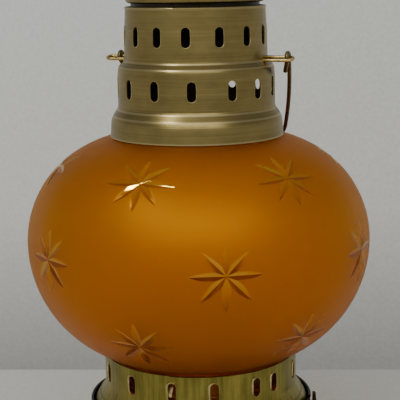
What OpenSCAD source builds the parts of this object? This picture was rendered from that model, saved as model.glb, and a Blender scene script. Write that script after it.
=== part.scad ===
// Star lantern: a small standing oil lantern with a blown amber globe cut with stars.
// Millimetres, +Z up. The origin is the centre of the base's underside.
// The ears of the bail lie on the X axis, and the bail hangs back towards +Y.

/* [Globe] */
// Largest outside radius of the glass
globe_r = 95.7; // [92:0.1:100]
// Thickness of the blown glass
glass_t = 3.2; // [2.8:0.1:3.6]
// Outside radius of the neck that stands in the gallery
neck_r = 49.8; // [49:0.1:50.2]
// Depth of the star cuts
cut_depth = 0.45; // [0.35:0.05:0.6]
// Half the width of a cut for each unit of its depth
cut_spread = 3.6; // [3:0.1:3.8]

/* [Hood] */
// Outside radius at the foot of the upper tier
upper_r = 39.3; // [37.5:0.1:41]
// Width of the step between the two tiers
step_w = 4; // [3.5:0.1:5]
// Width that the skirt's shoulder adds
shoulder_w = 4.6; // [4:0.1:5.5]
// Height of the skirt below the shoulder's top
skirt_h = 16.1; // [14:0.1:18]
// Height of the lower tier
lower_h = 24.5; // [22:0.1:27]
// Height of the upper tier
upper_h = 29.8; // [27:0.1:33]
// Thickness of the spun brass sheet
sheet_t = 0.8; // [0.7:0.05:1]
// Width of the air slots
slot_w = 4.9; // [4:0.1:5.5]
// Height of the air slots
slot_h = 10.6; // [9.5:0.1:11]

/* [Bail] */
// Radius of the bail wire
bail_wire_r = 1.2; // [1:0.05:1.3]
// Radius of the ear wire
ear_wire_r = 0.9; // [0.8:0.05:1.05]
// Distance of each ear wire from the ear's centre line
ear_half_gap = 2.8; // [2.7:0.05:3]
// Length of the bail's straight legs
leg_run = 75; // [70:0.5:80]

/* [Base] */
// Outside radius of the pot's wall
pot_r = 63; // [61:0.1:67]
// Height of the pot's rim above the table
pot_top = 44.3; // [43:0.1:46]
// Outside radius of the gallery's slotted crown
gallery_r = 54.6; // [54.2:0.1:56]
// Height of the gallery's upper edge above the table
gallery_top = 72; // [70:0.5:76]
// Radius of the wick knob
knob_r = 10; // [9:0.5:10.5]

/* [Burner] */
// Width of the flat wick
wick_w = 15; // [14:0.5:16]
// Thickness of the flat wick
wick_t = 2.2; // [2:0.1:2.3]
// Radius of the wick shaft
shaft_r = 1.2; // [1.1:0.05:1.25]

/* [Hidden] */
$fn = 96;
eps = 0.01;
// Gap between pieces that rest on each other, and between soldered pieces
seat = 0.3;
snug = 0.02;

// Base
font_top = 30;
font_r = pot_r - 1.4;
lip_z = 40.6;
waist_z = 53.8;
seat_top = waist_z + 1;
gallery_slot_z = (waist_z + gallery_top) / 2 - 0.25;
shaft_z = 37;
shaft_turn = 14;
shaft_y = -(wick_t / 2 + 3.9);
wheel_tip = 3.75;
knob_x = pot_r + 1.2;

// Profile of the globe, from its widest part: three arcs, and a hollow fillet into the neck
side_r = 57.8;
side_c = [globe_r - side_r, 0];
side_turn = 59.3;
crown_r = 73.7;
crown_c = [side_c[0] + (side_r - crown_r) * cos(side_turn), (side_r - crown_r) * sin(side_turn)];
under_r = 68.3;
under_c = [globe_r - under_r, 0];
fillet_r = 4;
neck_turn = -acos((neck_r + fillet_r - under_c[0]) / (under_r + fillet_r));
neck_c = [neck_r + fillet_r, (under_r + fillet_r) * sin(neck_turn)];

// The glass clears the gallery's edge by this much, and its neck stands on the seat
edge_gap = 1.65;
equator_z = gallery_top + edge_gap + sqrt(pow(under_r, 2) - pow(gallery_r - under_c[0], 2));
neck_bottom = seat_top + seat - equator_z;

// Radii and heights of the hood. Its skirt sits on the glass
lower_r = upper_r + step_w;
skirt_r = lower_r + shoulder_w;
skirt_in = skirt_r - sheet_t;
skirt_z = equator_z + crown_c[1] + sqrt(pow(crown_r, 2) - pow(skirt_in - crown_c[0], 2)) + seat;
shoulder_z = skirt_z + skirt_h;
step_z = shoulder_z + lower_h;
rim_z = step_z + upper_h;
upper_slot_z = (step_z + rim_z) / 2 - 0.55;
lower_slot_z = (shoulder_z + step_z) / 2 - 1.05;
collar_r = skirt_r - 7.4;
collar_top = skirt_z - equator_z + 8.7;
cap_r = upper_r - 3.2;
cap_z = rim_z + 3.8;
brim_r = 1.9;

// Slots: azimuths in each row, from the front, -Y, towards +X. They were punched by eye
slots_upper = [-60, -34.5, -11.2, 12.4, 38.4, 63.5, 88.1, 113, 138.4, 165.4, 194, 221.8, 247.7, 273.5];
slots_lower = [-61.3, -36, -10.5, 16.7, 45.6, 68.7, 91.6, 118, 145.3, 170.9, 196, 221, 246.5, 272.5];
slots_gallery = [-49.5, -23.2, 3.5, 27.6, 53.4, 66.8, 92.4, 116.6, 140.8, 165, 189.2, 213.4, 237.6,
    261.8, 286];

// Stars: azimuths in each row, set out by eye as well
stars_upper = [-2.3, 56.5, 117, 177.5, 237, 297.5];
stars_middle = [-35, 28, 84.7, 146, 206, 266];
stars_lower = [-1.7, 59.9, 119.5, 179, 239.5, 299];
petal_reach = 8.6;

// Ears: level with each other, tipped so that the front wire lies lower
ear_z = step_z + 2.1;
ear_tip_turn = 14;
ear_right_tip = lower_r + 12.7;
ear_left_tip = lower_r + 10.3;

// Bail: a hook on each rear ear wire, a bend, a nearly straight leg and a round crown
hook_r = ear_wire_r + 0.09 + bail_wire_r;
hook_right = lower_r + 8.2;
hook_left = -(lower_r + 2.7);
bail_half = (hook_right - hook_left) / 2;
bail_mid = (hook_right + hook_left) / 2;
leg_arc = 600;
leg_start = 10.3;
tail_turn = 18;
leg_bend = 6;
leg_sweep = leg_run / leg_arc * 180 / PI;
leg_end = leg_start + leg_sweep;
bail_end_x = bail_half - leg_bend * (1 - cos(leg_start)) - leg_arc * (cos(leg_start) - cos(leg_end));
bail_end_y = leg_bend * sin(leg_start) + leg_arc * (sin(leg_end) - sin(leg_start));
bail_crown = bail_end_x / cos(leg_end);

// The bail rests on the glass: the drop below level at which its crown comes down to it
function crown_at(a) = [bail_mid + bail_crown * cos(a), bail_end_y + bail_crown * (sin(a) - sin(leg_end))];
function dropped(p, d) = [norm([p[0], ear_half_gap + p[1] * cos(d) + hook_r * sin(d)]),
    ear_z - p[1] * sin(d) + hook_r * cos(d) - equator_z];
function glass_gap(q) = atan2(q[1] - side_c[1], q[0] - side_c[0]) > side_turn ?
    norm(q - crown_c) - crown_r : norm(q - side_c) - side_r;
function bail_gap(d) = min([for (a = [20:5:160]) glass_gap(dropped(crown_at(a), d))]) - bail_wire_r - seat;
function halve(lo, hi, n) = n == 0 ? lo :
    bail_gap((lo + hi) / 2) > 0 ? halve((lo + hi) / 2, hi, n - 1) : halve(lo, (lo + hi) / 2, n - 1);
bail_drop = halve(20, 60, 14);

// Which sub-part to draw

// Flat brass sheet that follows a line of [radius, height] points, thickened on its left-hand side
function unit(v) = v / norm(v);
function left_of(v) = [-v[1], v[0]];
function side_dir(p, i) =
    let (a = i > 0 ? unit(p[i] - p[i - 1]) : unit(p[1] - p[0]),
         b = i < len(p) - 1 ? unit(p[i + 1] - p[i]) : a,
         m = unit(left_of(a) + left_of(b)))
    m / (m * left_of(a));
function sheet(p, t) = concat(p, [for (i = [len(p) - 1:-1:0]) p[i] + side_dir(p, i) * t]);

// The line with each inner corner rounded by three short sides, which start at the distance d from it
function rounded(p, d) = [for (i = [0:len(p) - 1]) each
    i == 0 || i == len(p) - 1 ? [p[i]] :
    let (a = p[i] + unit(p[i - 1] - p[i]) * d, b = p[i] + unit(p[i + 1] - p[i]) * d)
    [for (k = [0:3]) let (t = k / 3) (1 - t) * (1 - t) * a + 2 * t * (1 - t) * p[i] + t * t * b]];

// A ring spun from a sheet profile
module spun(p, t) {
    rotate_extrude() polygon(sheet(p, t));
}

// A turned ring of round wire
module bead(r, z, w) {
    translate([0, 0, z]) rotate_extrude() translate([r, 0]) circle(r = w, $fn = 32);
}

// A filled sector of a circle
module sector(c, r, a, b) {
    far = 2 * r;
    m = (a + b) / 2;
    translate(c) intersection() {
        circle(r = r);
        polygon([[0, 0], far * [cos(a), sin(a)], far * [cos(m), sin(m)], far * [cos(b), sin(b)]]);
    }
}

// Upright slot with round ends, pointing out along +X through a wall
module slot(reach, w, h) {
    translate([reach, 0, 0]) rotate([0, 90, 0]) linear_extrude(16, center = true) {
        square([h - w, w], center = true);
        for (s = [-1, 1]) translate([s * (h - w) / 2, 0]) circle(d = w, $fn = 32);
    }
}

// A row of slots at the given azimuths
module slot_row(reach, z, azimuths, w, h) {
    for (a = azimuths) rotate([0, 0, a - 90]) translate([0, 0, z]) slot(reach, w, h);
}

// BASE

// The pot: a spun pan whose upturned rim stands around the gallery's foot. A notch lets the wick shaft out
module pot() {
    color([0.16, 0.13, 0.08]) difference() {
        union() {
            spun([[6, 1.6], [50, 1.6], [pot_r - 6.6, 0.5], [pot_r, 3.4], [pot_r, pot_top - 1]], sheet_t);
            translate([0, 0, 1.6]) cylinder(r = 7, h = sheet_t);
            bead(pot_r - 0.4, pot_top - 0.8, 0.8);
        }
        rotate([0, 0, shaft_turn]) translate([pot_r, shaft_y, shaft_z]) {
            rotate([0, 90, 0]) cylinder(d = 6.4, h = 8, center = true, $fn = 48);
            translate([-4, -3.2, 0]) cube([8, 6.4, 12]);
        }
    }
}

// The rolled foot, worn flat underneath, that the lantern stands on
module foot_bead() {
    color([0.42, 0.33, 0.16]) difference() {
        translate([0, 0, 1.9]) rotate_extrude() translate([pot_r + 1.6, 0]) circle(r = 2.2, $fn = 48);
        translate([0, 0, -5]) cylinder(r = pot_r + 10, h = 5);
        translate([0, 0, 0.5]) cylinder(r1 = pot_r - 6.6 + snug, r2 = pot_r + snug, h = 2.9);
        translate([0, 0, 3.4 - eps]) cylinder(r = pot_r + snug, h = 10);
    }
}

// The font: the oil tank, a hollow drum with a gently coned top and a hole for the burner
module font() {
    color([0.45, 0.36, 0.17]) difference() {
        union() {
            rotate_extrude() polygon([[0, 2.7], [font_r - 5, 2.7], [font_r, 5.2], [font_r, font_top],
                [font_r - 2.6, font_top], [16.5, font_top + 1.6], [0, font_top + 1.6]]);
            bead(font_r - 0.9, font_top - 0.4, 0.9);
        }
        rotate_extrude() polygon([[0, 3.6], [font_r - 5.4, 3.6], [font_r - 0.9, 5.9],
            [font_r - 0.9, font_top - 0.9], [0, font_top - 0.9]]);
        translate([0, 0, font_top - 2]) cylinder(r = 12.1, h = 10);
    }
}

// The threaded collar soldered into the font's top
module font_collar() {
    color([0.55, 0.44, 0.2]) difference() {
        union() {
            translate([0, 0, font_top + 1.6]) cylinder(r = 17, h = 0.9);
            translate([0, 0, font_top + 1.6]) cylinder(r = 15.6, h = 3);
            for (i = [0:1]) bead(15.5, font_top + 3.1 + i * 1.1, 0.35);
        }
        translate([0, 0, font_top]) cylinder(r = 12.1, h = 8);
    }
}

// BURNER

// Flat shape that the wick and its tube share
module flat_bar(w, t, z0, z1) {
    translate([-w / 2, -t / 2, z0]) cube([w, t, z1 - z0]);
}

// The burner's bowl, pierced with air holes, screwed on the collar
module burner_body() {
    color([0.6, 0.48, 0.22]) rotate([0, 0, shaft_turn]) difference() {
        rotate_extrude() polygon([[11.9, 27.5], [11.9, 34.8], [15.4, 34.8], [17.6, 35.6], [22.4, 42.2],
            [22.4, 46], [21.6, 46], [21.6, 42.5], [17.2, 36.4], [15.2, 35.7], [11.0, 35.7], [11.0, 27.5]]);
        for (i = [0:15]) rotate([0, 0, (i + 0.5) * 22.5]) translate([20, 0, 39.6])
            rotate([0, 50, 0]) cylinder(d = 2.4, h = 6, center = true, $fn = 24);
        translate([10, shaft_y, shaft_z]) rotate([0, 90, 0]) cylinder(r = shaft_r + 0.05, h = 20, $fn = 32);
    }
}

// The air distributor: a pierced disc around the wick tube
module burner_disc() {
    rings = [[12.5, 16], [17, 24]];
    color([0.6, 0.48, 0.22]) rotate([0, 0, shaft_turn]) difference() {
        translate([0, 0, 46]) cylinder(r = 22.4, h = 0.7);
        flat_bar(wick_w + 2.6, wick_t + 2.4, 40, 50);
        for (ring = rings) for (i = [0:ring[1] - 1]) rotate([0, 0, (i + 0.5) * 360 / ring[1]])
            translate([ring[0], 0, 40]) cylinder(d = 1.8, h = 12, $fn = 24);
    }
}

// The wick tube, with windows on its front face for the raising wheels
module wick_tube() {
    color([0.55, 0.44, 0.2]) rotate([0, 0, shaft_turn]) difference() {
        union() {
            flat_bar(wick_w + 2.6, wick_t + 2.4, 24, 72);
            translate([0, 0, 30.5]) cylinder(r = 11.0 - snug, h = 1.2);
        }
        flat_bar(wick_w + 1.0, wick_t + 0.8, 20, 80);
        for (s = [-1, 1]) translate([s * 4 - 1.7, -5, 31.7 + eps]) cube([3.4, 5, 10.8]);
    }
}

// The bush that steadies the shaft's inner end, soldered to the front of the wick tube
module shaft_bush() {
    bush_x = -(wick_w / 2 + 0.9);
    front = wick_t / 2 + 1.2;
    color([0.55, 0.44, 0.2]) rotate([0, 0, shaft_turn]) difference() {
        union() {
            translate([bush_x, shaft_y, shaft_z]) rotate([0, 90, 0]) cylinder(r = 2, h = 1.6, $fn = 32);
            translate([bush_x, shaft_y, shaft_z - 2]) cube([1.6, -front - shaft_y, 4]);
        }
        translate([bush_x - 2, shaft_y, shaft_z]) rotate([0, 90, 0])
            cylinder(r = shaft_r + 0.05, h = 8, $fn = 32);
    }
}

// The woven wick
module wick() {
    color([0.85, 0.8, 0.68]) rotate([0, 0, shaft_turn]) flat_bar(wick_w, wick_t, 11, 74);
}

// The shaft that turns the raising wheels
module wick_shaft() {
    start = -(wick_w / 2 + 1.7);
    color([0.5, 0.4, 0.2]) rotate([0, 0, shaft_turn]) translate([start, shaft_y, shaft_z]) rotate([0, 90, 0])
        cylinder(r = shaft_r, h = knob_x + 4.9 - start, $fn = 32);
}

// Two small spur wheels that bear on the wick
module wick_wheels() {
    color([0.6, 0.48, 0.22]) rotate([0, 0, shaft_turn]) for (s = [-1, 1]) difference() {
        translate([s * 4 - 0.6, shaft_y, shaft_z]) rotate([0, 90, 0]) union() {
            cylinder(r = 2.9, h = 1.2, $fn = 48);
            for (i = [0:9]) rotate([0, 0, i * 36]) translate([2.6, 0, 0]) linear_extrude(1.2)
                polygon([[0, -0.7], [wheel_tip - 2.6, 0], [0, 0.7]]);
        }
        translate([-12, shaft_y, shaft_z]) rotate([0, 90, 0]) cylinder(r = shaft_r, h = 24, $fn = 32);
    }
}

// The knurled thumb wheel at the lantern's right-hand side
module wick_knob() {
    color([0.2, 0.16, 0.1]) rotate([0, 0, shaft_turn]) translate([knob_x, shaft_y, shaft_z])
        rotate([0, 90, 0]) difference() {
            union() {
                cylinder(r = knob_r, h = 1.6);
                translate([0, 0, 1.6 - eps]) cylinder(r1 = knob_r - 1.4, r2 = 4.5, h = 1);
                translate([0, 0, 1.6]) bead(knob_r - 1.1, 0, 0.5);
            }
            for (i = [0:29]) rotate([0, 0, i * 12]) translate([knob_r + 0.35, 0, -1])
                cylinder(r = 0.7, h = 4, $fn = 16);
            translate([0, 0, -2]) cylinder(r = shaft_r, h = 8, $fn = 32);
        }
}

// The nut that holds the knob
module knob_nut() {
    color([0.55, 0.44, 0.2]) rotate([0, 0, shaft_turn]) translate([knob_x + 2.6 - eps, shaft_y, shaft_z])
        rotate([0, 90, 0]) difference() {
            cylinder(r = 2.6, h = 1.5, $fn = 6);
            translate([0, 0, -1]) cylinder(r = shaft_r, h = 4, $fn = 32);
        }
}

// The deflector cone that spreads the flame
module burner_cone() {
    color([0.6, 0.48, 0.22]) rotate([0, 0, shaft_turn]) difference() {
        union() {
            spun([[22.2, 46.8], [22.2, 49.8], [20.8, 51.2], [19.4, 58], [16.6, 66], [12.6, 72.4],
                [8, 76.2], [2, 77.6], [0.2, 77.7]], 0.6);
            bead(22.1, 47.3, 0.5);
        }
        flat_bar(wick_w + 4, 6, 66, 90);
        for (i = [0:11]) rotate([0, 0, i * 30]) translate([18, 0, 55]) rotate([0, 90, 0])
            cylinder(d = 2, h = 8, center = true, $fn = 24);
    }
}

// GALLERY AND GLOBE

// The flare between the gallery's lip and its waist: upright at both ends, with a soft S between them
function flare(g) = (0.35 * (1 + cos(180 * g)) + 0.3 * (1 - g)) * (font_r - gallery_r) + gallery_r;

// The gallery: a slotted crown on a flared foot, spun in one piece
module gallery() {
    rise = waist_z - lip_z;
    color([0.47, 0.39, 0.17]) difference() {
        union() {
            spun([[font_r, font_top + 0.8], for (g = [0:1 / 8:1]) [flare(g), lip_z + rise * g],
                [gallery_r, gallery_top - 0.4]], sheet_t);
            bead(gallery_r - 0.4, gallery_top - 0.4, 0.45);
            bead(flare(0.5) - 0.2, lip_z + rise / 2, 0.5);
        }
        slot_row(gallery_r, gallery_slot_z, slots_gallery, slot_w, slot_h - 0.3);
        rotate([0, 0, shaft_turn]) translate([font_r, shaft_y, shaft_z]) {
            rotate([0, 90, 0]) cylinder(d = 4.4, h = 12, center = true, $fn = 48);
            translate([-6, -2.2, -12]) cube([12, 4.4, 12]);
        }
    }
}

// The ledge inside the gallery that the glass stands on
module globe_seat() {
    r = gallery_r - sheet_t - snug;
    color([0.45, 0.36, 0.17]) rotate_extrude() translate([0, seat_top]) polygon([[r, -0.8], [r, 0],
        [neck_r - 4, 0], [neck_r - 5.2, -1.2], [neck_r - 5.2, -2.6], [neck_r - 4.4, -2.6],
        [neck_r - 4.4, -1.5], [neck_r - 3.7, -0.8]]);
}

// Three leaf springs that steady the neck
module globe_springs() {
    r = gallery_r - sheet_t;
    touch = neck_r + 0.4;
    color([0.6, 0.5, 0.25]) for (i = [0:2]) rotate([0, 0, i * 120 + 30]) intersection() {
        rotate_extrude() translate([0, seat_top]) polygon([[r, 5], [r, 7.4], [r - 0.5, 7.4],
            [touch + 0.4, 11.2], [touch + 0.8, 13.4], [touch + 0.4, 13.4], [touch, 11.2], [r - 0.9, 7],
            [r - 0.9, 5]]);
        translate([0, -3, seat_top]) cube([80, 6, 30]);
    }
}

// One ground cut: a blunt V that the round of the glass turns into a leaf, pointed at both ends
module leaf_cut(turn, curve_r) {
    rotate([turn, 0, 0]) translate([-curve_r, 0, 0]) rotate([0, -petal_reach / curve_r * 180 / PI, 0])
        translate([curve_r - cut_depth, 0, -10]) linear_extrude(20)
            polygon([[0, 0], [1, cut_spread], [1, -cut_spread]]);
}

// A star of eight cuts at one height on the glass
module star(az, z, c, r) {
    lift = asin((z - c[1]) / r);
    across = (c[0] + r * cos(lift)) / cos(lift);
    rotate([0, 0, az - 90]) translate([c[0], 0, equator_z + c[1]]) rotate([0, -lift, 0]) translate([r, 0, 0])
        for (i = [0:7]) leaf_cut(i * 45, 1 / (pow(sin(i * 45), 2) / across + pow(cos(i * 45), 2) / r));
}

// Half of the filled outline of the glass, or of its hollow when t is the wall's thickness.
// The neck and the collar run past their ends by the amount past
module glass_outline(t, past) {
    low = under_c + (under_r - t) * [cos(neck_turn), sin(neck_turn)];
    intersection() {
        translate([0, -200]) square([200, 400]);
        union() {
            translate(side_c) circle(r = side_r - t);
            sector(crown_c, crown_r - t, side_turn, 90);
            translate([0, -20]) square([crown_c[0] + 1, 20 + crown_c[1] + crown_r - t]);
            sector(under_c, under_r - t, neck_turn, -20);
            sector(under_c, under_r - t, -22, 0);
            translate([0, low[1]]) square([low[0], -low[1]]);
            translate([0, neck_bottom - past]) square([neck_r - t, -neck_bottom + past]);
            translate([0, 0]) square([collar_r - t, collar_top + past]);
            difference() {
                polygon([[10, neck_c[1]], neck_c, low, low + [-20, 10]]);
                translate(neck_c) circle(r = fillet_r + t, $fn = 64);
            }
        }
    }
}

// The outside of the glass, filled, as four quarters: rolled edges at the neck and the collar
module glass_body() {
    for (i = [0:3]) rotate([0, 0, 45 + 90 * i]) rotate_extrude(angle = 90, $fn = 180) {
        glass_outline(0, 0);
        translate([neck_r - 0.2, neck_bottom + 3.2]) circle(r = 1.3, $fn = 48);
        translate([collar_r - glass_t / 2, collar_top]) circle(d = glass_t + 0.1, $fn = 48);
    }
}

// The globe: blown amber glass with three rows of ground stars
module globe() {
    color([0.75, 0.4, 0.05, 0.8]) difference() {
        difference() {
            translate([0, 0, equator_z]) glass_body();
            for (a = stars_upper) star(a, 43.2, side_c, side_r);
            for (a = stars_middle) star(a, 0.8, side_c, side_r);
            for (a = stars_lower) star(a, -40.1, under_c, under_r);
        }
        translate([0, 0, equator_z]) rotate_extrude($fn = 180) glass_outline(glass_t, 5);
    }
}

// HOOD

// Places its children on the two wires of a hairpin ear, which tips about its rear wire
module ear_frame() {
    translate([0, ear_half_gap, ear_z]) rotate([ear_tip_turn, 0, 0]) translate([0, -ear_half_gap, 0])
        children();
}

// The hood: skirt, shoulder and two tiers, spun from one sheet, with a wired edge at the top
module hood() {
    color([0.47, 0.39, 0.17]) difference() {
        union() {
            spun(rounded([[skirt_r, skirt_z], [skirt_r - 0.6, shoulder_z - 7.6],
                [skirt_r - 1.5, shoulder_z - 4.7], [lower_r, shoulder_z - 0.2], [lower_r, step_z - 7.4],
                [lower_r - 0.5, step_z - 2.3], [upper_r + 0.1, step_z + 0.5],
                [upper_r - 0.2, upper_slot_z], [upper_r - 1, rim_z - 0.6]], 1.3), sheet_t);
            bead(upper_r - 1.1, rim_z - 0.6, 0.6);
        }
        slot_row(upper_r, upper_slot_z, slots_upper, slot_w, slot_h);
        slot_row(lower_r, lower_slot_z, slots_lower, slot_w, slot_h);
        ear_frame() for (s = [0, 1]) mirror([s, 0, 0]) for (y = [-1, 1])
            translate([30, y * ear_half_gap, 0]) rotate([0, 90, 0])
                cylinder(r = ear_wire_r, h = 20, $fn = 32);
    }
}

// The collar that carries the cap above the upper tier
module cap_collar() {
    w = upper_r - 0.8 - sheet_t;
    top = cap_z - sqrt(pow(brim_r, 2) - 0.81) - seat;
    color([0.4, 0.33, 0.15]) rotate_extrude() polygon([[w, rim_z - 6.4], [w, rim_z - 5.6],
        [cap_r - 0.9, rim_z - 5.6], [cap_r - 0.9, top], [cap_r - 1.7, top], [cap_r - 1.7, rim_z - 6.4]]);
}

// The cap: a spun dome on a stepped shoulder, with a rolled brim
module cap() {
    dome_r = cap_r - 6.5;
    dome_h = 14;
    ball_r = (dome_r * dome_r + dome_h * dome_h) / (2 * dome_h);
    dome_turn = asin((ball_r - dome_h) / ball_r);
    color([0.47, 0.39, 0.17]) translate([0, 0, cap_z]) difference() {
        union() {
            spun(rounded([[cap_r, 1.5], [cap_r - 2.3, 4.1], [cap_r - 5.4, 5.2], [dome_r, 8.5]], 0.7),
                sheet_t);
            translate([0, 0, 8.4 + dome_h - ball_r]) rotate_extrude() difference() {
                sector([0, 0], ball_r, dome_turn - 1, 90);
                circle(r = ball_r - sheet_t);
            }
            rotate_extrude() translate([cap_r, 0]) difference() {
                circle(r = brim_r, $fn = 48);
                circle(r = brim_r - 0.7, $fn = 48);
            }
        }
        translate([0, 0, 10]) cylinder(r = 2.05 + snug, h = 20, $fn = 32);
    }
}

// The finial: a turned knob on the cap, with a threaded tail
module finial() {
    color([0.5, 0.42, 0.2]) translate([0, 0, cap_z + 22.4]) {
        cylinder(r = 5, h = 1.2);
        translate([0, 0, 1.2 - eps]) cylinder(r1 = 3.8, r2 = 2.2, h = 2.8);
        translate([0, 0, 7.6]) sphere(r = 4.6);
        translate([0, 0, 11.6]) cylinder(r1 = 2, r2 = 1, h = 2.4);
        translate([0, 0, 13.8]) sphere(r = 1.1, $fn = 32);
        translate([0, 0, -5]) cylinder(r = 2.05, h = 5.2, $fn = 32);
    }
}

// The nut under the cap
module finial_nut() {
    color([0.5, 0.42, 0.2]) translate([0, 0, cap_z + 22.4 - sheet_t - seat - 2.4]) difference() {
        cylinder(r = 4.2, h = 2.4, $fn = 6);
        translate([0, 0, -1]) cylinder(r = 2.05, h = 5, $fn = 32);
    }
}

// EARS AND BAIL

// One ear: a wire hairpin, pushed through the wall and soldered inside
module ear(tip) {
    turn_x = tip - ear_half_gap - ear_wire_r;
    start = upper_r - 2.4;
    ear_frame() {
        for (y = [-1, 1]) translate([start, y * ear_half_gap, 0]) rotate([0, 90, 0])
            cylinder(r = ear_wire_r, h = turn_x - start, $fn = 32);
        translate([turn_x, 0, 0]) rotate([0, 0, -90]) rotate_extrude(angle = 180)
            translate([ear_half_gap, 0]) circle(r = ear_wire_r, $fn = 32);
    }
}

module ear_right() {
    color([0.72, 0.6, 0.3]) ear(ear_right_tip);
}

module ear_left() {
    color([0.72, 0.6, 0.3]) mirror([1, 0, 0]) ear(ear_left_tip);
}

// The small plates that the ear wires are soldered to, inside the wall
module ear_washers() {
    color([0.4, 0.33, 0.15]) for (s = [0, 1]) mirror([s, 0, 0]) ear_frame() difference() {
        translate([upper_r - 2, 0, 0]) cube([1.0, 9.6, 2.8], center = true);
        for (y = [-1, 1]) translate([upper_r - 5, y * ear_half_gap, 0]) rotate([0, 90, 0])
            cylinder(r = ear_wire_r, h = 6, $fn = 32);
    }
}

// One leg of the bail in the bail's own plane: X outwards, Y away from the ears, starting at the hook
module leg() {
    blend = bail_wire_r + 0.07;
    sphere(r = blend, $fn = 32);
    translate([-leg_bend * (1 - cos(leg_start)), leg_bend * sin(leg_start), 0]) sphere(r = blend, $fn = 32);
    translate([-leg_bend, 0, 0]) {
        rotate_extrude(angle = leg_start) translate([leg_bend, 0]) circle(r = bail_wire_r, $fn = 32);
        rotate([0, 0, leg_start]) translate([leg_bend - leg_arc, 0, 0]) rotate_extrude(angle = leg_sweep)
            translate([leg_arc, 0]) circle(r = bail_wire_r, $fn = 32);
    }
}

// The hook at the end of a leg: round the rear ear wire, with a short tail that points under the leg
module hook(turn) {
    tail = 10.5;
    rotate([0, -90, 0]) rotate([0, 0, 180]) rotate_extrude(angle = 180) translate([hook_r, 0])
        circle(r = bail_wire_r, $fn = 32);
    translate([0, 0, -hook_r]) {
        sphere(r = bail_wire_r + 0.07, $fn = 32);
        rotate([0, 0, turn]) rotate([-90, 0, 0]) {
            cylinder(r = bail_wire_r, h = tail, $fn = 32);
            translate([0, 0, tail]) cylinder(r1 = bail_wire_r, r2 = 0.7, h = 0.7, $fn = 32);
        }
    }
}

// The bail: one wire, from hook to hook, with a round crown
module bail() {
    blend = bail_wire_r + 0.07;
    color([0.4, 0.31, 0.14]) translate([0, ear_half_gap, ear_z]) rotate([-bail_drop, 0, 0]) {
        translate([bail_mid, 0, hook_r]) {
            for (s = [0, 1]) mirror([s, 0, 0]) {
                translate([bail_half, 0, 0]) leg();
                translate([bail_end_x, bail_end_y, 0]) sphere(r = blend, $fn = 32);
            }
            translate([0, bail_end_y - bail_crown * sin(leg_end), 0]) rotate([0, 0, leg_end])
                rotate_extrude(angle = 180 - 2 * leg_end) translate([bail_crown, 0])
                    circle(r = bail_wire_r, $fn = 32);
        }
        translate([hook_right, 0, 0]) hook(tail_turn);
        translate([hook_left, 0, 0]) hook(0);
    }
}

pot();
foot_bead();
font();
font_collar();
burner_body();
burner_disc();
wick_tube();
shaft_bush();
wick();
wick_shaft();
wick_wheels();
wick_knob();
knob_nut();
burner_cone();
gallery();
globe_seat();
globe_springs();
globe();
hood();
cap_collar();
cap();
finial();
finial_nut();
ear_right();
ear_left();
ear_washers();
bail();
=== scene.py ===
"""Star lantern: an amber glass globe with ground stars between a slotted brass hood and gallery."""

import math

import bmesh
import bpy
import numpy as np
from mathutils import Matrix, Vector

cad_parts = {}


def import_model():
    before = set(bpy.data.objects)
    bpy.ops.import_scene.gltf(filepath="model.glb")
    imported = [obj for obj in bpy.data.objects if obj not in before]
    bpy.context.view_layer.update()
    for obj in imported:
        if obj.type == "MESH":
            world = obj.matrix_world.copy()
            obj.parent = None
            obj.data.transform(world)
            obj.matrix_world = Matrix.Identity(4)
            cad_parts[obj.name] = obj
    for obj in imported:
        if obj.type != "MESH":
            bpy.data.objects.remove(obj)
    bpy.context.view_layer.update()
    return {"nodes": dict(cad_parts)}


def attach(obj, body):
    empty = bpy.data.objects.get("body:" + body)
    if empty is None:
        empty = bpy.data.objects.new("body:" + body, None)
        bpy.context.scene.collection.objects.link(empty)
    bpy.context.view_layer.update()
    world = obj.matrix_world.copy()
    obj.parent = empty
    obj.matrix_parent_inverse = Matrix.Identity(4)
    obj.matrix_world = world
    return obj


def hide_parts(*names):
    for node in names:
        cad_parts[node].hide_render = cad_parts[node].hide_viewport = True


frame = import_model()
scene = bpy.context.scene
nodes = frame["nodes"]
shown = dict(nodes)

# Camera, in metres and radians: fitted to the rims, slots and outline in the photograph
CAM_FOCAL = 1169.68 / 400 * 36
CAM_BACK = 0.64550
CAM_ASIDE = 0.001053
CAM_HEIGHT = 0.28047
CAM_PITCH = 0.188792
CAM_ROLL = 0.0153834
CAM_TURN = math.radians(20)

# Ends of the table's far edge, in pixels of the photograph
EDGE_LEFT = (0.0, 369.4)
EDGE_RIGHT = (400.0, 368.9)
PICTURE = 400

# Outline of the glass, in metres above its widest part: the arcs' centres (radius, height)
EQUATOR_Z = 0.1363
SIDE_CENTRE = (0.0379, 0.0)
CROWN_CENTRE = (0.029782, -0.013672)
CROWN_TURN = math.radians(59.3)
UNDER_CENTRE = (0.0274, 0.0)
SIDE_R = 0.0578
CROWN_R = 0.0737
UNDER_R = 0.0683

# Stars as in part.scad: azimuths from the front, height above the widest part, the arc's centre and radius
STAR_ROWS = (
    ((-2.3, 56.5, 117, 177.5, 237, 297.5), 0.0432, SIDE_CENTRE, SIDE_R),
    ((-35, 28, 84.7, 146, 206, 266), 0.0008, SIDE_CENTRE, SIDE_R),
    ((-1.7, 59.9, 119.5, 179, 239.5, 299), -0.0401, UNDER_CENTRE, UNDER_R),
)
PETALS = 8
PETAL_REACH = 0.0080
CUT_DEPTH = 0.0006
# Half the width of a cut for each unit of its depth: wider than the solid's cuts, as in the photograph
CUT_SPREAD = 4.0

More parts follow.
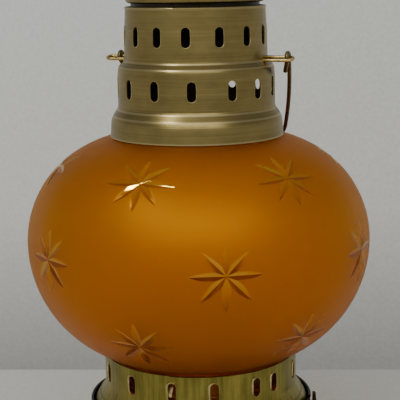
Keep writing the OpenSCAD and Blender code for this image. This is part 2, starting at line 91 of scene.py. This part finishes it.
# Rows of slots as in part.scad: body, wall radius and middle height in metres, azimuths from the front
SLOT_W = 0.0049
SLOT_H = 0.0106
SLOT_ROWS = (
    ("upper", "hood", 0.0391, 0.249515, (-60, -34.5, -11.2, 12.4, 38.4, 63.5, 88.1, 113, 138.4, 165.4, 194, 221.8,
                                       247.7, 273.5)),
    ("lower", "hood", 0.0433, 0.221865, (-61.3, -36, -10.5, 16.7, 45.6, 68.7, 91.6, 118, 145.3, 170.9, 196, 221,
                                       246.5, 272.5)),
    ("gallery", "gallery", 0.0546, 0.06265, (-49.5, -23.2, 3.5, 27.6, 53.4, 66.8, 92.4, 116.6, 140.8, 165, 189.2,
                                             213.4, 237.6, 261.8, 286)),
)


def camera():
    """The photograph's camera."""
    right = Vector((math.cos(CAM_TURN), math.sin(CAM_TURN), 0))
    ahead = Vector((-math.sin(CAM_TURN), math.cos(CAM_TURN), 0))
    up = Vector((0, 0, 1))
    eye = right * CAM_ASIDE - ahead * CAM_BACK + up * CAM_HEIGHT
    look = ahead * math.cos(CAM_PITCH) - up * math.sin(CAM_PITCH)
    over = ahead * math.sin(CAM_PITCH) + up * math.cos(CAM_PITCH)
    c, s = math.cos(CAM_ROLL), math.sin(CAM_ROLL)
    x_axis = right * c - over * s
    y_axis = right * s + over * c
    m = Matrix.Identity(4)
    for i, axis in enumerate((x_axis, y_axis, -look)):
        m.col[i][:3] = axis
    m.col[3][:3] = eye
    data = bpy.data.cameras.new("camera")
    data.sensor_width = 36
    data.lens = CAM_FOCAL
    data.clip_start = 0.01
    data.clip_end = 100
    ob = bpy.data.objects.new("camera", data)
    ob.matrix_world = m
    scene.collection.objects.link(ob)
    scene.camera = ob
    return right, ahead, m


class Graph:
    """A short way to write a material's nodes."""

    def __init__(self, name):
        self.mat = bpy.data.materials.new(name)
        self.mat.use_nodes = True
        self.tree = self.mat.node_tree
        self.tree.nodes.clear()

    def add(self, kind, inputs=None, **props):
        n = self.tree.nodes.new(kind)
        for k, v in props.items():
            setattr(n, k, v)
        for k, v in (inputs or {}).items():
            socket = n.inputs[k]
            if isinstance(v, bpy.types.NodeSocket):
                self.tree.links.new(v, socket)
            else:
                socket.default_value = v
        return n

    def math(self, op, a, b=0.0, clamp=False):
        return self.add("ShaderNodeMath", {0: a, 1: b}, operation=op, use_clamp=clamp).outputs[0]

    def place(self):
        return self.add("ShaderNodeTexCoord").outputs["Object"]

    def noise(self, scale, detail=2.0, rough=0.5, stretch=(1, 1, 1)):
        at = self.add("ShaderNodeMapping", {"Vector": self.place(), "Scale": stretch}).outputs[0]
        return self.add(
            "ShaderNodeTexNoise", {"Vector": at, "Scale": scale, "Detail": detail, "Roughness": rough}
        ).outputs[0]

    def ramp(self, value, stops):
        n = self.add("ShaderNodeValToRGB", {"Fac": value})
        band = n.color_ramp
        while len(band.elements) < len(stops):
            band.elements.new(0.5)
        for e, (at, colour) in zip(band.elements, stops):
            e.position = at
            e.color = (*colour, 1)
        return n.outputs[0]

    def span(self, value, lo, hi, to_lo=0.0, to_hi=1.0):
        return self.add(
            "ShaderNodeMapRange",
            {"Value": value, "From Min": lo, "From Max": hi, "To Min": to_lo, "To Max": to_hi},
        ).outputs[0]

    def mix(self, fac, a, b):
        n = self.add("ShaderNodeMix", data_type="RGBA")
        for socket, v in ((n.inputs[0], fac), (n.inputs[6], a), (n.inputs[7], b)):
            if isinstance(v, bpy.types.NodeSocket):
                self.tree.links.new(v, socket)
            else:
                socket.default_value = v if isinstance(v, float) else (*v, 1)
        return n.outputs[2]

    def bump(self, height, strength, distance):
        return self.add(
            "ShaderNodeBump", {"Height": height, "Strength": strength, "Distance": distance}
        ).outputs[0]

    def surface(self, **inputs):
        named = {k.replace("_", " "): v for k, v in inputs.items()}
        shader = self.add("ShaderNodeBsdfPrincipled", named)
        out = self.add("ShaderNodeOutputMaterial")
        self.tree.links.new(shader.outputs[0], out.inputs[0])
        return self.mat


def brushed(name, dark, light, rough=0.36, streak=0.10, upright=False, painted_shade_and_highlights=False):
    """Aged brass, brushed round the lantern's axis. For the hood it is painted nearly black inside, as painted shade,
    with thin bright bands painted at the rim, step and shoulder as painted highlights.
    """
    g = Graph(name)
    lines = g.noise(1.0, 4, 0.65, (420, 420, 26) if upright else (9, 9, 3000))
    soft = g.noise(1.0, 3, 0.6, (150, 150, 18) if upright else (22, 22, 160))
    blotch = g.noise(60, 5, 0.65)
    tone = g.math("MULTIPLY", lines, 0.45)
    tone = g.math("ADD", tone, g.math("MULTIPLY", soft, 0.25))
    tone = g.math("ADD", tone, g.math("MULTIPLY", blotch, 0.3))
    colour = g.ramp(g.span(tone, 0.40, 0.60), [(0.0, dark), (1.0, light)])
    roughness = g.span(lines, 0.3, 0.7, rough - streak / 2, rough + streak / 2)
    metal = 1.0
    if painted_shade_and_highlights:
        at = g.add("ShaderNodeSeparateXYZ", {"Vector": g.place()}).outputs
        out = g.add("ShaderNodeCombineXYZ", {0: at[0], 1: at[1], 2: 0.0}).outputs[0]
        out = g.add("ShaderNodeVectorMath", {0: out}, operation="NORMALIZE").outputs[0]
        normal = g.add("ShaderNodeNewGeometry").outputs["True Normal"]
        facing = g.add("ShaderNodeVectorMath", {0: out, 1: normal}, operation="DOT_PRODUCT").outputs["Value"]
        inside = g.math("LESS_THAN", facing, -0.25)
        # Painted highlights: thin bands at the top rim and at the step and shoulder edges are painted in lighter
        # brass.
        wear_and_highlight = g.math("GREATER_THAN", at[2], 0.2636)
        for height in (0.2358, 0.2328, 0.2096, 0.2061, 0.1948):
            near = g.math("LESS_THAN", g.math("ABSOLUTE", g.math("SUBTRACT", at[2], height)), 0.0005)
            wear_and_highlight = g.math("MAXIMUM", wear_and_highlight, near)
        wear_and_highlight = g.math("MULTIPLY", wear_and_highlight, g.math("LESS_THAN", at[2], 0.2655))
        colour = g.mix(g.math("MULTIPLY", wear_and_highlight, 0.45), colour, (0.66, 0.55, 0.28))
        # Painted shade: faces turned towards the axis, inside the hood, are painted nearly black and made non-metallic
        # and rougher.
        colour = g.mix(inside, colour, (0.010, 0.007, 0.005))
        metal = g.math("SUBTRACT", 1.0, inside)
        roughness = g.math("ADD", roughness, g.math("MULTIPLY", inside, 0.4))
    return g.surface(
        Base_Color=colour,
        Metallic=metal,
        Roughness=roughness,
        Normal=g.bump(lines, 0.2, 0.00004),
    )


def wire(name, dark, light, rough=0.3, low=None):
    """Drawn wire with a worn skin. Where a low colour is given, the wire is painted in it towards its low end, as
    painted shade.
    """
    g = Graph(name)
    wear_and_highlight = g.noise(260, 4, 0.6)
    colour = g.ramp(g.span(wear_and_highlight, 0.35, 0.65), [(0.0, dark), (1.0, light)])
    if low:
        height = g.add("ShaderNodeSeparateXYZ", {"Vector": g.place()}).outputs[2]
        colour = g.mix(g.span(height, 0.226, 0.196), colour, low)
    return g.surface(
        Base_Color=colour,
        Metallic=1.0,
        Roughness=g.span(wear_and_highlight, 0.3, 0.7, rough - 0.06, rough + 0.1),
        Normal=g.bump(g.noise(900, 2), 0.15, 0.00005),
    )


def amber():
    """Frosted amber glass. The ground cuts, which turn away from the outline, are polished."""
    g = Graph("amber_glass")

    def split(v):
        return g.add("ShaderNodeSeparateXYZ", {"Vector": v}).outputs

    at = split(g.place())
    radius = g.math("SQRT", g.math("ADD", g.math("MULTIPLY", at[0], at[0]), g.math("MULTIPLY", at[1], at[1])))
    height = g.math("SUBTRACT", at[2], EQUATOR_Z)

    # How far the face turns away from the outline's own direction, 1 - cos
    steep = g.math("ARCTAN2", height, g.math("SUBTRACT", radius, SIDE_CENTRE[0]))
    on_crown = g.math("GREATER_THAN", steep, CROWN_TURN)
    below = g.math("LESS_THAN", height, 0.0)

    def pick(i):
        c = g.math("ADD", SIDE_CENTRE[i], g.math("MULTIPLY", on_crown, CROWN_CENTRE[i] - SIDE_CENTRE[i]))
        return g.math("ADD", c, g.math("MULTIPLY", below, UNDER_CENTRE[i] - SIDE_CENTRE[i]))

    run = g.math("DIVIDE", g.math("SUBTRACT", radius, pick(0)), radius)
    out = g.add(
        "ShaderNodeCombineXYZ",
        {0: g.math("MULTIPLY", at[0], run), 1: g.math("MULTIPLY", at[1], run), 2: g.math("SUBTRACT", height, pick(1))},
    ).outputs[0]
    out = g.add("ShaderNodeVectorMath", {0: out}, operation="NORMALIZE").outputs[0]
    normal = g.add("ShaderNodeNewGeometry").outputs["Normal"]
    along = g.add("ShaderNodeVectorMath", {0: out, 1: normal}, operation="DOT_PRODUCT").outputs["Value"]
    turned = g.math("SUBTRACT", 1.0, g.math("ABSOLUTE", along))
    band = g.math("LESS_THAN", g.math("ABSOLUTE", height), 0.0535)
    cut = g.math("MULTIPLY", g.span(turned, 0.004, 0.012), band)
    grain = g.noise(2200, 2, 0.6)
    # Painted light: the glass is painted yellowest a little above its widest part and redder and darker towards the
    # bottom and the top, for its glow; a noise shifts the bands at random.
    glow_height = g.math("ADD", height, g.math("MULTIPLY", g.math("SUBTRACT", g.noise(16, 2, 0.5), 0.5), 0.02))
    colour = g.ramp(
        g.span(glow_height, -0.06, 0.07),
        [(0.0, (0.92, 0.33, 0.0)), (0.45, (0.955, 0.43, 0.0)), (0.65, (0.965, 0.48, 0.0)), (0.95, (0.93, 0.39, 0.0))],
    )

    # In a cut, the face turned up is painted darker and the one turned down lighter: painted shade and highlight on
    # the facets
    lean = g.math("SUBTRACT", split(normal)[2], split(out)[2])
    faces = g.ramp(
        g.span(lean, -0.17, 0.17),
        [(0.0, (0.98, 0.68, 0.08)), (0.5, (0.92, 0.40, 0.0)), (1.0, (0.38, 0.08, 0.0))],
    )
    colour = g.mix(cut, colour, faces)
    return g.surface(
        Base_Color=colour,
        Roughness=g.span(cut, 0.0, 1.0, 0.48, 0.06),
        IOR=1.5,
        Metallic=g.span(cut, 0.0, 1.0, 0.12, 0.26),
        Transmission_Weight=1.0,
        Specular_Tint=g.mix(cut, (1.0, 0.60, 0.03), (1.0, 0.68, 0.16)),
        Normal=g.bump(grain, 0.1, 0.00003),
    )


def star_wedges(petal):
    """One petal of every star, as the grinding wheel's path: a blunt V that lies along the round of the glass."""
    top, half = 0.001, 0.010
    turn = 2 * math.pi * petal / PETALS
    verts, faces = [], []
    for azimuths, rise, centre, r in STAR_ROWS:
        lift = math.asin((rise - centre[1]) / r)
        across = (centre[0] + r * math.cos(lift)) / math.cos(lift)
        bend = 1 / (math.sin(turn) ** 2 / across + math.cos(turn) ** 2 / r)
        for az in azimuths:
            place = (
                Matrix.Rotation(math.radians(az - 90), 4, "Z")
                @ Matrix.Translation((centre[0], 0, EQUATOR_Z + centre[1]))
                @ Matrix.Rotation(-lift, 4, "Y")
                @ Matrix.Translation((r, 0, 0))
                @ Matrix.Rotation(turn, 4, "X")
                @ Matrix.Translation((-bend, 0, 0))
                @ Matrix.Rotation(-PETAL_REACH / bend, 4, "Y")
                @ Matrix.Translation((bend - CUT_DEPTH, 0, 0))
            )
            first = len(verts)
            for z in (-half, half):
                for x, y in ((0, 0), (top, top * CUT_SPREAD), (top, -top * CUT_SPREAD)):
                    verts.append(place @ Vector((x, y, z)))
            faces += [
                [first + k for k in side]
                for side in ((0, 2, 1), (3, 4, 5), (0, 1, 4, 3), (1, 2, 5, 4), (2, 0, 3, 5))
            ]
    mesh = bpy.data.meshes.new("star_wedges")
    mesh.from_pydata(verts, [], faces)
    mesh.flip_normals()
    wedges = bpy.data.objects.new("star_wedges", mesh)
    scene.collection.objects.link(wedges)
    return wedges


def round_normals(mesh):
    """Gives the round outside of the glass the outline's own normals, and leaves each cut its flat faces."""
    mesh.shade_smooth()
    mesh.set_sharp_from_angle(angle=math.radians(6))
    mesh.update()
    co = np.empty(len(mesh.vertices) * 3)
    mesh.vertices.foreach_get("co", co)
    co = co.reshape(-1, 3)
    radius = np.hypot(co[:, 0], co[:, 1])
    height = co[:, 2] - EQUATOR_Z
    on_crown = np.arctan2(height, radius - SIDE_CENTRE[0]) > CROWN_TURN
    arcs = np.where(on_crown[:, None], (*CROWN_CENTRE, CROWN_R), (*SIDE_CENTRE, SIDE_R))
    arcs = np.where((height < 0)[:, None], (*UNDER_CENTRE, UNDER_R), arcs)
    run = radius - arcs[:, 0]
    out = np.column_stack((co[:, :2] * (run / radius)[:, None], height - arcs[:, 1]))
    length = np.linalg.norm(out, axis=1)
    out /= length[:, None]
    on_arc = np.abs(length - arcs[:, 2]) < 0.00003

    loops = len(mesh.loops)
    corner = np.empty(loops, dtype=np.int32)
    mesh.loops.foreach_get("vertex_index", corner)
    sides = np.empty(len(mesh.polygons), dtype=np.int32)
    mesh.polygons.foreach_get("loop_total", sides)
    flat = np.empty(len(mesh.polygons) * 3)
    mesh.polygons.foreach_get("normal", flat)
    flat = np.repeat(flat.reshape(-1, 3), sides, axis=0)
    normals = np.empty(loops * 3)
    mesh.corner_normals.foreach_get("vector", normals)
    normals = normals.reshape(-1, 3)
    body = on_arc[corner] & ((flat * out[corner]).sum(axis=1) > math.cos(math.radians(6)))
    normals[body] = out[corner][body]
    mesh.normals_split_custom_set(normals)


def ground_globe(material):
    """The glass with its stars ground as wide as in the photograph. It stands for the solid's narrower cuts."""
    work = bmesh.new()
    work.from_mesh(nodes["globe"].data)
    bmesh.ops.remove_doubles(work, verts=work.verts, dist=0.000001)
    mesh = bpy.data.meshes.new("globe_glass")
    work.to_mesh(mesh)
    work.free()
    piece = bpy.data.objects.new("globe_glass", mesh)
    scene.collection.objects.link(piece)
    for petal in range(PETALS):
        wedges = star_wedges(petal)
        grind = piece.modifiers.new("grind", "BOOLEAN")
        grind.object = wedges
        grind.operation = "DIFFERENCE"
        grind.solver = "MANIFOLD"
        bpy.context.view_layer.update()
        mesh = bpy.data.meshes.new_from_object(piece.evaluated_get(bpy.context.evaluated_depsgraph_get()))
        piece.modifiers.clear()
        piece.data = mesh
        bpy.data.objects.remove(wedges)
    round_normals(mesh)
    mesh.materials.clear()
    mesh.materials.append(material)
    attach(piece, "globe")
    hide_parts("globe")
    shown["globe"] = piece


def slot_lips(row, body, radius, middle, azimuths, material):
    """The turned edges of a row of slots, in brighter brass and thickest on the side where the light catches them, as
    painted highlights: those of the hood at their lower right, those of the gallery flaring at their upper left.
    """
    verts, faces = [], []
    steps, sides = 36, 8
    straight = (SLOT_H - SLOT_W) / 2
    for az in azimuths:
        first = len(verts)
        for i in range(steps):
            t = 2 * math.pi * i / steps
            across, rise = math.cos(t), math.sin(t)
            u = across * SLOT_W / 2
            v = rise * SLOT_W / 2 + math.copysign(straight, rise) * min(1.0, abs(rise) * 4)
            if row == "gallery":
                thick = 0.00008 + 0.0007 * max(0.0, math.cos(t - math.radians(150))) ** 2
            else:
                thick = 0.00006 + 0.00018 * max(0.0, math.cos(t + math.radians(50)))
            turn = math.radians(az - 90) + u / radius
            out = Vector((math.cos(turn), math.sin(turn), 0))
            away = Vector((-out.y, out.x, 0)) * across + Vector((0, 0, 1)) * rise
            centre = out * radius + Vector((0, 0, middle + v)) + away * thick * 0.6
            for k in range(sides):
                w = 2 * math.pi * k / sides
                verts.append(centre + (out * math.cos(w) + away * math.sin(w)) * thick)
        for i in range(steps):
            for k in range(sides):
                a, b = first + i * sides, first + (i + 1) % steps * sides
                faces.append((a + k, a + (k + 1) % sides, b + (k + 1) % sides, b + k))
    mesh = bpy.data.meshes.new("slot_lips_" + row)
    mesh.from_pydata(verts, [], faces)
    mesh.shade_smooth()
    mesh.materials.append(material)
    piece = bpy.data.objects.new("slot_lips_" + row, mesh)
    scene.collection.objects.link(piece)
    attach(piece, body)


def cotton():
    g = Graph("wick_cotton")
    weave = g.add(
        "ShaderNodeTexWave",
        {"Vector": g.place(), "Scale": 420.0, "Distortion": 0.6, "Detail": 1.0},
        bands_direction="DIAGONAL",
    ).outputs[1]
    colour = g.mix(weave, (0.62, 0.56, 0.42), (0.86, 0.81, 0.68))
    return g.surface(Base_Color=colour, Roughness=0.9, Normal=g.bump(weave, 0.5, 0.0002))


def on_table(view, px, py):
    """The point of the table's plane that a pixel of the photograph shows."""
    f = CAM_FOCAL / 36 * PICTURE
    x_axis, y_axis, back = (view.col[i].to_3d() for i in range(3))
    ray = x_axis * ((px - PICTURE / 2) / f) - y_axis * ((py - PICTURE / 2) / f) - back
    eye = view.col[3].to_3d()
    return eye - ray * (eye.z / ray.z)


def stage(view):
    """The table top, with a slightly darker strip along its far side."""
    left, right_end = on_table(view, *EDGE_LEFT), on_table(view, *EDGE_RIGHT)
    along = (right_end - left).normalized()
    toward = Vector((along.y, -along.x, 0))
    middle = (left + right_end) / 2
    for name, start, deep, low, pale, dark in (
        ("table_top", 0.0024, 3.0, 0.0, (0.90, 0.90, 0.82), (0.82, 0.82, 0.75)),
        ("table_edge", 0.0, 0.0024, 0.0, (0.80, 0.80, 0.76), (0.66, 0.66, 0.63)),
    ):
        a, b = middle + toward * start, middle + toward * (start + deep)
        corners = [a - along * 3, a + along * 3, b + along * 3, b - along * 3]
        mesh = bpy.data.meshes.new(name)
        mesh.from_pydata([(c.x, c.y, low) for c in corners], [], [(3, 2, 1, 0)])
        piece = bpy.data.objects.new(name, mesh)
        scene.collection.objects.link(piece)
        g = Graph(name)
        colour = g.mix(g.span(g.noise(240, 3, 0.6), 0.3, 0.7), dark, pale)
        piece.data.materials.append(g.surface(Base_Color=colour, Roughness=0.6))


def world(right):
    """The wall that the camera sees, and the softer, evener room that lights the lantern."""
    w = bpy.data.worlds.new("room")
    w.use_nodes = True
    w.node_tree.nodes.clear()
    g = Graph.__new__(Graph)
    g.tree = w.node_tree
    way = g.add("ShaderNodeTexCoord").outputs["Generated"]
    seen = g.add("ShaderNodeSeparateXYZ", {"Vector": way}).outputs
    rough = g.add("ShaderNodeTexNoise", {"Vector": way, "Scale": 330.0, "Detail": 3.0, "Roughness": 0.7}).outputs[0]
    # Painted shade: the wall the camera sees is darker towards the table and towards the right; a noise mottles it.
    across = g.add("ShaderNodeVectorMath", {0: way, 1: right}, operation="DOT_PRODUCT").outputs["Value"]
    level = g.math("ADD", g.span(rough, 0.3, 0.7, 0.94, 1.06), g.math("MULTIPLY", across, -0.25))
    wall = g.ramp(
        g.span(seen[2], -0.32, 0.0),
        [(0.0, (0.27, 0.268, 0.25)), (0.40, (0.525, 0.52, 0.472)), (1.0, (0.575, 0.58, 0.545))],
    )
    room = g.ramp(
        g.span(seen[2], -0.3, 1.0),
        [(0.0, (0.36, 0.35, 0.33)), (0.23, (0.52, 0.52, 0.50)), (0.38, (0.42, 0.42, 0.41)), (0.52, (0.27, 0.27, 0.27)),
         (0.84, (0.25, 0.25, 0.25)), (0.93, (0.50, 0.50, 0.49)), (1.0, (0.60, 0.60, 0.58))],
    )
    shade = g.add("ShaderNodeMixShader", {
        0: g.add("ShaderNodeLightPath").outputs["Is Camera Ray"],
        1: g.add("ShaderNodeBackground", {0: room}).outputs[0],
        2: g.add("ShaderNodeBackground", {0: wall, 1: level}).outputs[0],
    }).outputs[0]
    g.add("ShaderNodeOutputWorld", {0: shade})
    scene.world = w


def area(name, at, to, size, power, colour=(1, 1, 1), size_y=None, only=None):
    data = bpy.data.lights.new(name, "AREA")
    data.shape = "RECTANGLE"
    data.size = size
    data.size_y = size_y or size
    data.energy = power
    data.color = colour
    ob = bpy.data.objects.new(name, data)
    ob.location = at
    ob.rotation_mode = "QUATERNION"
    ob.rotation_quaternion = (Vector(to) - Vector(at)).to_track_quat("-Z", "Y")
    scene.collection.objects.link(ob)
    if only:
        lit = bpy.data.collections.new(name + "_lights")
        lit.objects.link(shown[only])
        ob.light_linking.receiver_collection = lit


def lights(right, ahead):
    up = Vector((0, 0, 1))
    target = up * 0.16

    def aim(turn, lift, far):
        """A place seen from the lantern: turn to the camera's right, lift above level, in degrees."""
        t, e = math.radians(turn), math.radians(lift)
        return target + (right * math.sin(t) - ahead * math.cos(t)) * (far * math.cos(e)) + up * (far * math.sin(e))

    area("front", aim(-5, 33, 1.6), target, 2.2, 8, size_y=0.35)
    area("high", aim(12, 46, 1.6), target, 1.6, 5, size_y=0.3, only="globe")
    area("over", aim(0, 44, 1.6), target, 2.4, 4, size_y=0.9, only="hood")
    area("lamp_small", aim(-46.5, 50.5, 1.6), target, 0.16, 4, size_y=0.12)


def dress():
    """Gives every node its material."""
    spun = brushed("brass_spun", (0.215, 0.16, 0.056), (0.325, 0.252, 0.093), 0.33, painted_shade_and_highlights=True)
    gallery = brushed("brass_gallery", (0.16, 0.132, 0.026), (0.335, 0.276, 0.06), 0.36, upright=True)
    # Nearly black brass. On the cap's collar it is painted shade, for the shaded recess under the cap; the pot and the
    # wick knob are dark as well.
    dark = brushed("brass_dark", (0.020, 0.016, 0.011), (0.06, 0.048, 0.03), 0.4)
    plain = brushed("brass_plain", (0.36, 0.27, 0.11), (0.55, 0.43, 0.19), 0.3)
    bright = wire("brass_wire", (0.42, 0.31, 0.10), (0.74, 0.58, 0.25))
    # The bail is painted dark reddish brown from just below its ears downward, as painted shade behind the hood's
    # shoulder.
    bronze = wire("bronze_wire", (0.16, 0.115, 0.05), (0.26, 0.20, 0.09), 0.35, low=(0.10, 0.032, 0.014))
    spring = wire("spring_brass", (0.45, 0.35, 0.14), (0.66, 0.52, 0.24))
    table = {
        spun: "hood cap foot_bead",
        gallery: "gallery",
        dark: "pot cap_collar wick_knob",
        plain: "font font_collar burner_body burner_disc wick_tube shaft_bush wick_shaft wick_wheels "
        "knob_nut burner_cone globe_seat finial finial_nut ear_washers",
        bright: "ear_right ear_left",
        bronze: "bail",
        spring: "globe_springs",
        cotton(): "wick",
    }
    for material, names in table.items():
        for name in names.split():
            ob = nodes[name]
            ob.data.materials.clear()
            ob.data.materials.append(material)
    ground_globe(amber())
    # Brass brighter than the hood's, for the turned slot edges: painted highlight.
    bright_lip = wire("brass_lip_highlight", (0.42, 0.35, 0.13), (0.68, 0.58, 0.30), 0.36)
    for row in SLOT_ROWS:
        slot_lips(*row, bright_lip)


right, ahead, view = camera()
world(right)
stage(view)
dress()
lights(right, ahead)
